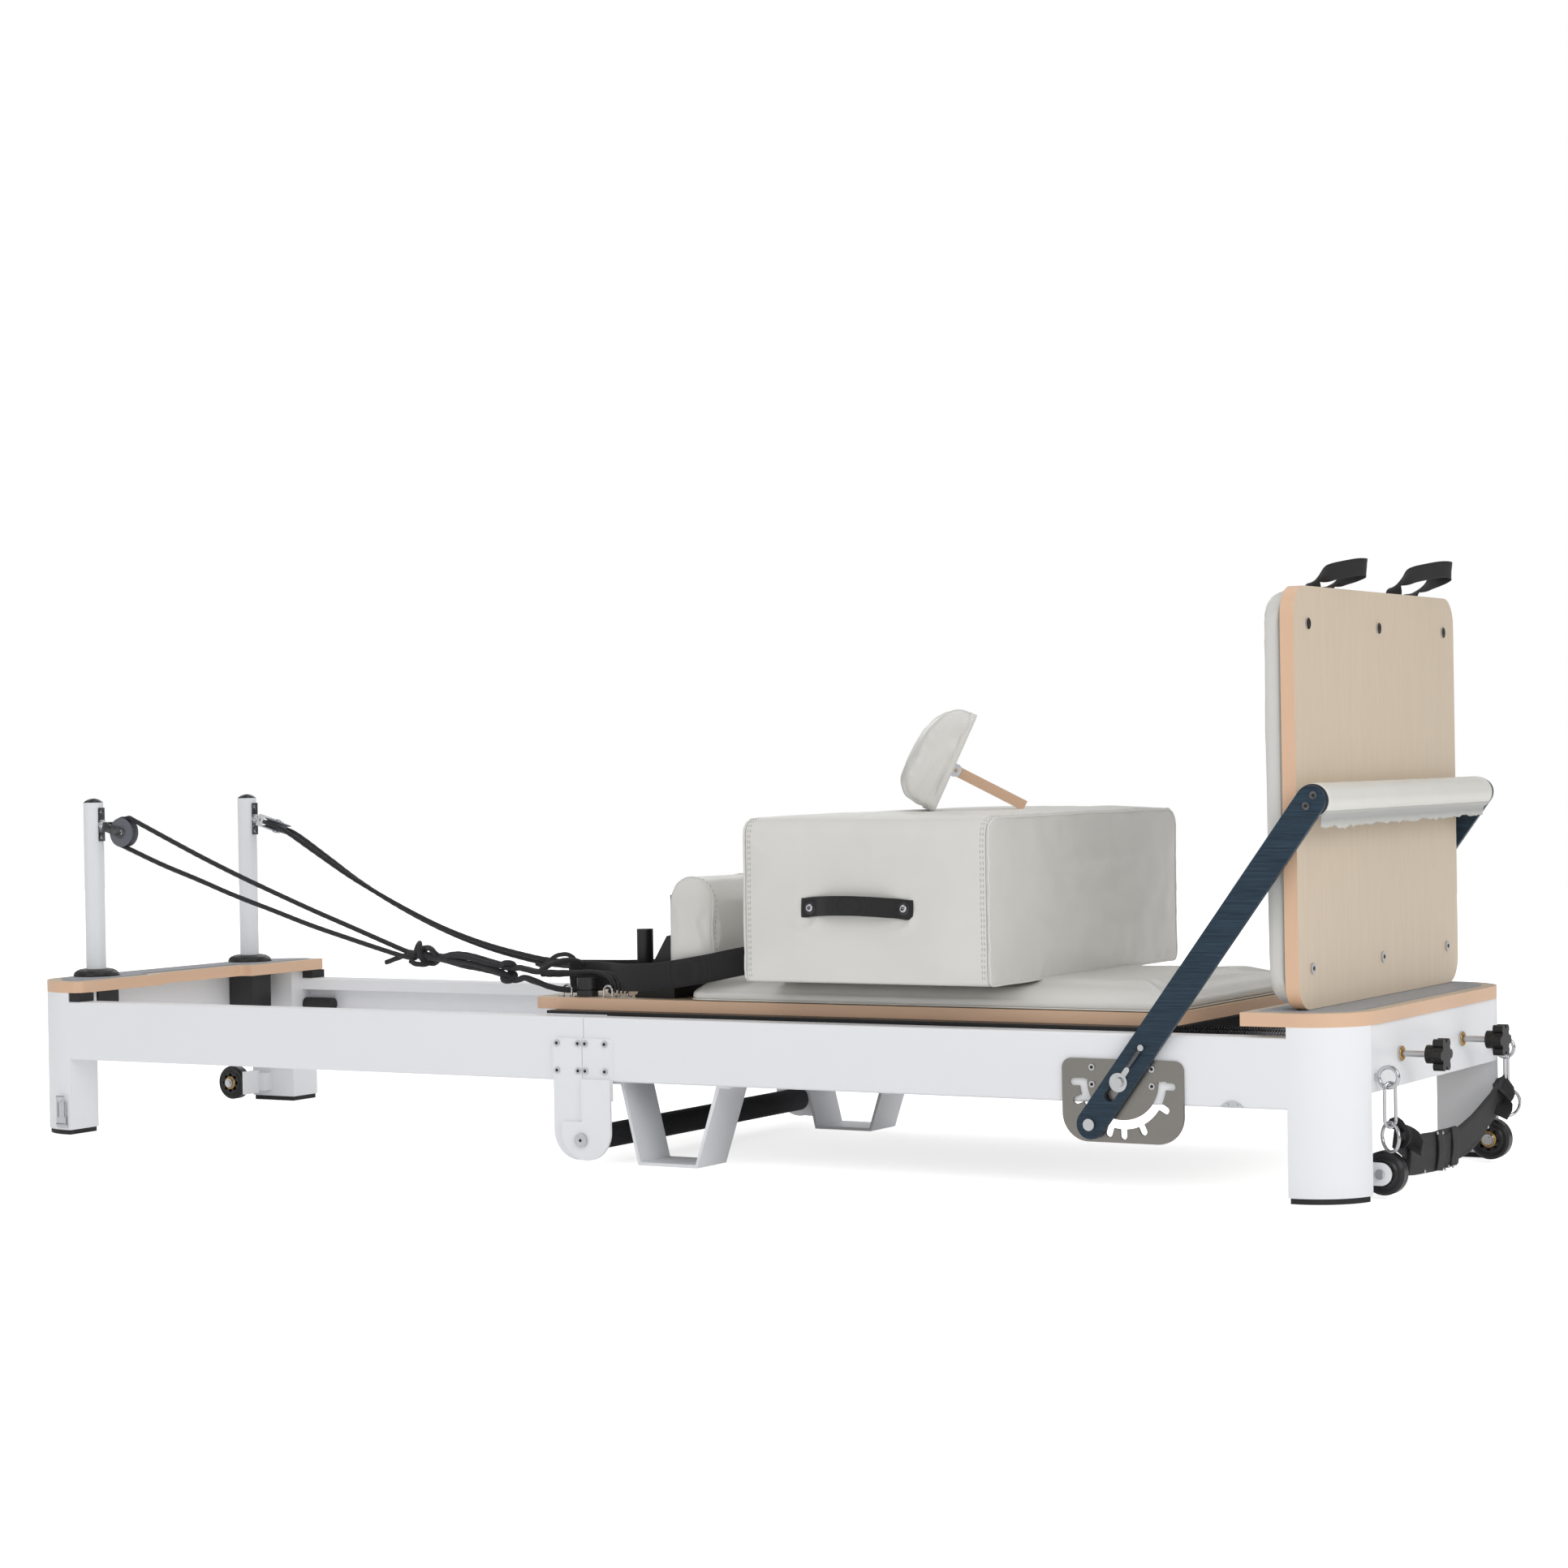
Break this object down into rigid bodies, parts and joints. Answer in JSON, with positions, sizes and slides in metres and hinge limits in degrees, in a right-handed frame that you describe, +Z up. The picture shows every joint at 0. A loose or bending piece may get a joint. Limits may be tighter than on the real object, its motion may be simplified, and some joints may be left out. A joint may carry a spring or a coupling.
{
  "type": "pilates reformer",
  "caption": "Folding pilates reformer: sliding padded carriage on twin rails, hinged foot bar, jump board, rope risers, shoulder rests, sitting box and headrest.",
  "frame": {"origin": "centre of the footprint on the floor", "axes": "+X towards the foot end, +Y to the left of someone lying with the head at the -X end and looking up, +Z up"},
  "size_m": [2.5034, 0.7116, 0.89],
  "materials": {
    "white_enamel": "satin",
    "beech": "satin lacquer",
    "board_oak": "satin",
    "upholstery": "soft semi-matt",
    "black_rubber": "matt",
    "black_plastic": "matt",
    "black_steel": "satin",
    "steel": "bright",
    "stainless": "brushed",
    "arm_steel": "satin",
    "spring_steel": "brushed",
    "webbing": "woven",
    "rope": "braided",
    "sheave_plastic": "gloss"
  },
  "bodies": {
    "foot_frame": {"foot_rails": "white_enamel", "foot_end_frame": "white_enamel", "foot_deck": "beech", "foot_rubber_pads": "black_rubber", "centre_feet": "white_enamel", "foot_hinge_plates": "white_enamel", "quadrant_plates": "stainless", "foot_fixings": "steel", "eye_bolts": "steel", "spring_bar": "spring_steel", "fold_grip_tube": "black_rubber"},
    "head_frame": {"head_rails": "white_enamel", "head_end_frame": "white_enamel", "head_deck": "beech", "head_hinge_plates": "white_enamel", "head_fixings": "steel", "head_rubber_pads": "black_rubber", "post_sockets": "black_plastic", "riser_posts": "white_enamel", "ropes": "rope"},
    "carriage": {"carriage_board": "beech", "carriage_pad": "upholstery", "carriage_frame": "black_steel", "rope_eyes": "steel", "strap_pegs": "black_plastic", "shoulder_brackets": "black_steel", "resistance_springs": "spring_steel", "hand_straps": "webbing"},
    "carriage_rollers_head": {"carriage_rollers_head": "black_plastic"},
    "carriage_rollers_foot": {"carriage_rollers_foot": "black_plastic"},
    "shoulder_pad_near": {"shoulder_pad_near": "upholstery"},
    "shoulder_pad_far": {"shoulder_pad_far": "upholstery"},
    "sitting_box": {"sitting_box": "upholstery", "box_handles": "webbing"},
    "headrest": {"headrest_pad": "upholstery"},
    "headrest_prop": {"headrest_prop": "beech"},
    "jump_board": {"jump_board": "board_oak", "jump_board_pad": "upholstery", "jump_board_hardware": "steel", "jump_board_loops": "webbing"},
    "footbar_pivot": {"footbar_pivots": "steel", "footbar_springs": "spring_steel"},
    "footbar": {"footbar_arms": "arm_steel", "footbar_tube": "black_plastic", "footbar_cover": "upholstery", "footbar_screws": "steel"},
    "foot_strap_set": {"strap_clips": "steel", "foot_strap": "webbing"},
    "star_knob_near": {"star_knob_near": "black_plastic"},
    "star_knob_far": {"star_knob_far": "black_plastic"},
    "foot_wheel_near": {"foot_wheel_near": "black_rubber"},
    "foot_wheel_far": {"foot_wheel_far": "black_rubber"},
    "head_wheel_near": {"head_wheel_near": "black_rubber"},
    "head_wheel_far": {"head_wheel_far": "black_rubber"},
    "latch_near": {"latch_near": "steel"},
    "latch_far": {"latch_far": "steel"},
    "pulley_near": {"pulley_block_near": "steel"},
    "pulley_far": {"pulley_block_far": "steel"},
    "sheave_near": {"pulley_sheave_near": "sheave_plastic"},
    "sheave_far": {"pulley_sheave_far": "sheave_plastic"}
  },
  "joints": [
    {"name": "frame_fold", "type": "hinge", "parent": "foot_frame", "child": "head_frame", "pos_m": [-0.06325, 0, 0.038], "axis": [0, -1, 0], "range_deg": [0, 180]},
    {"name": "carriage_slide", "type": "slide", "parent": "foot_frame", "child": "carriage", "axis": [1, 0, 0], "range_m": [-0.86, 0], "deforming": ["ropes", "resistance_springs", "hand_straps"]},
    {"name": "roller_head_turn", "type": "hinge", "parent": "carriage", "child": "carriage_rollers_head", "pos_m": [-0.02125, 0, 0.1775], "axis": [0, 1, 0], "range_deg": [-1900, 100]},
    {"name": "roller_foot_turn", "type": "hinge", "parent": "carriage", "child": "carriage_rollers_foot", "pos_m": [0.81675, 0, 0.1775], "axis": [0, 1, 0], "range_deg": [-1900, 100]},
    {"name": "shoulder_near_lift", "type": "slide", "parent": "carriage", "child": "shoulder_pad_near", "axis": [0, 0, 1], "range_m": [0, 0.15]},
    {"name": "shoulder_far_lift", "type": "slide", "parent": "carriage", "child": "shoulder_pad_far", "axis": [0, 0, 1], "range_m": [0, 0.15]},
    {"name": "box_lift", "type": "slide", "parent": "carriage", "child": "sitting_box", "axis": [0, 0, 1], "range_m": [0, 0.15]},
    {"name": "headrest_lift", "type": "slide", "parent": "sitting_box", "child": "headrest", "axis": [0, 0, 1], "range_m": [0, 0.15]},
    {"name": "headrest_prop_fold", "type": "hinge", "parent": "headrest", "child": "headrest_prop", "pos_m": [0.40356, 0.01999, 0.59557], "axis": [-0.509, 0.8607, 0], "range_deg": [-85, 0]},
    {"name": "jump_board_lift", "type": "slide", "parent": "foot_frame", "child": "jump_board", "axis": [0, 0, 1], "range_m": [0, 0.15]},
    {"name": "footbar_swing", "type": "hinge", "parent": "foot_frame", "child": "footbar_pivot", "pos_m": [0.84575, 0, 0.159], "axis": [0, 1, 0], "range_deg": [0, 51]},
    {"name": "footbar_pull", "type": "slide", "parent": "footbar_pivot", "child": "footbar", "axis": [0.5962, 0, 0.8028], "range_m": [0, 0.015], "stiffness_N_per_m": 1500, "deforming": ["footbar_springs"]},
    {"name": "foot_strap_swing", "type": "hinge", "parent": "foot_frame", "child": "foot_strap_set", "pos_m": [1.20275, 0, 0.169], "axis": [0, -1, 0], "range_deg": [0, 80]},
    {"name": "star_knob_near_turn", "type": "hinge", "parent": "foot_frame", "child": "star_knob_near", "pos_m": [1.23675, -0.147, 0.193], "axis": [1, 0, 0], "range_deg": [0, 720]},
    {"name": "star_knob_far_turn", "type": "hinge", "parent": "foot_frame", "child": "star_knob_far", "pos_m": [1.23675, 0.106, 0.193], "axis": [1, 0, 0], "range_deg": [0, 720]},
    {"name": "foot_wheel_near_spin", "type": "hinge", "parent": "foot_frame", "child": "foot_wheel_near", "pos_m": [1.18775, -0.222, 0.035], "axis": [0, 1, 0], "continuous": true},
    {"name": "foot_wheel_far_spin", "type": "hinge", "parent": "foot_frame", "child": "foot_wheel_far", "pos_m": [1.18775, 0.222, 0.035], "axis": [0, 1, 0], "continuous": true},
    {"name": "head_wheel_near_spin", "type": "hinge", "parent": "head_frame", "child": "head_wheel_near", "pos_m": [-1.22125, -0.222, 0.035], "axis": [0, 1, 0], "continuous": true},
    {"name": "head_wheel_far_spin", "type": "hinge", "parent": "head_frame", "child": "head_wheel_far", "pos_m": [-1.22125, 0.222, 0.035], "axis": [0, 1, 0], "continuous": true},
    {"name": "latch_near_flip", "type": "hinge", "parent": "head_frame", "child": "latch_near", "pos_m": [-1.13325, -0.3375, 0.018], "axis": [1, 0, 0], "range_deg": [0, 100]},
    {"name": "latch_far_flip", "type": "hinge", "parent": "head_frame", "child": "latch_far", "pos_m": [-1.13325, 0.3375, 0.018], "axis": [-1, 0, 0], "range_deg": [0, 100]},
    {"name": "pulley_near_swivel", "type": "hinge", "parent": "head_frame", "child": "pulley_near", "pos_m": [-1.14625, -0.206, 0.524], "axis": [0, 0, 1], "range_deg": [-6, 6], "deforming": ["ropes"]},
    {"name": "pulley_far_swivel", "type": "hinge", "parent": "head_frame", "child": "pulley_far", "pos_m": [-1.14625, 0.206, 0.524], "axis": [0, 0, 1], "range_deg": [-6, 6], "deforming": ["ropes"]},
    {"name": "sheave_near_spin", "type": "hinge", "parent": "pulley_near", "child": "sheave_near", "pos_m": [-1.09819, -0.206, 0.51022], "axis": [0, 1, 0], "continuous": true},
    {"name": "sheave_far_spin", "type": "hinge", "parent": "pulley_far", "child": "sheave_far", "pos_m": [-1.09819, 0.206, 0.51022], "axis": [0.2696, 0.2079, 0.9403], "continuous": true}
  ],
  "couplings": [
    {"joint": "roller_head_turn", "follows": "carriage_slide", "rad_per_m": 37.037},
    {"joint": "roller_foot_turn", "follows": "carriage_slide", "rad_per_m": 37.037}
  ]
}
